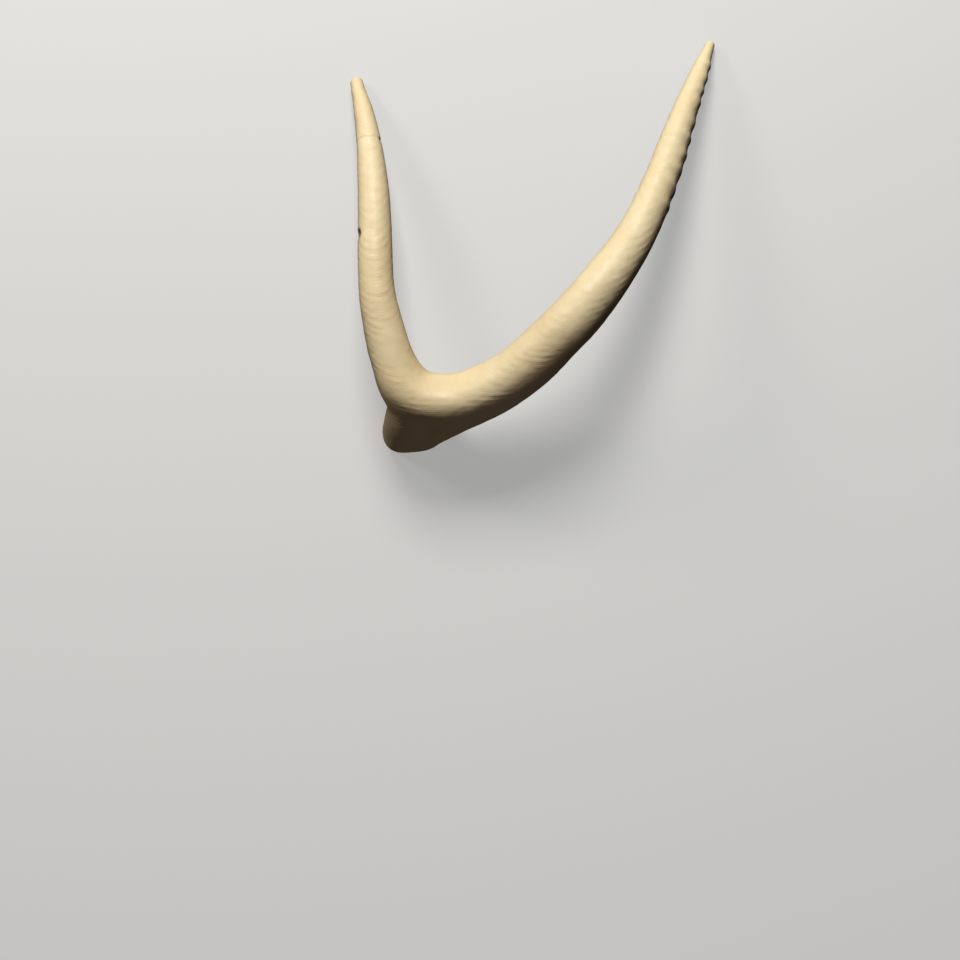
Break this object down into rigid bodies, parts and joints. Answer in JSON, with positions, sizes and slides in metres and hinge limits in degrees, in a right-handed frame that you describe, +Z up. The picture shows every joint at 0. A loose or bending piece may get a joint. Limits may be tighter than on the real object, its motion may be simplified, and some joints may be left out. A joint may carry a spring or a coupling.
{
  "type": "replica axis deer antler",
  "caption": "Replica axis deer antler in matte cream paint: a long bowed main beam and a shorter brow tine fork from a short flat-footed base; it lies on its foot and its two tips.",
  "frame": {"origin": "Bottom centre of the antler's bounding box, on the floor it lies on.", "axes": "+Z up from the floor; +Y along the arms, from the base towards the tips; +X across the arms, from the tine to the main beam."},
  "size_m": [0.15, 0.1698, 0.0494],
  "materials": {
    "cream_paint": "matte cream coat over fine layer lines"
  },
  "bodies": {
    "root": {"antler_base": "cream_paint", "brow_tine": "cream_paint", "main_beam": "cream_paint"}
  },
  "joints": []
}
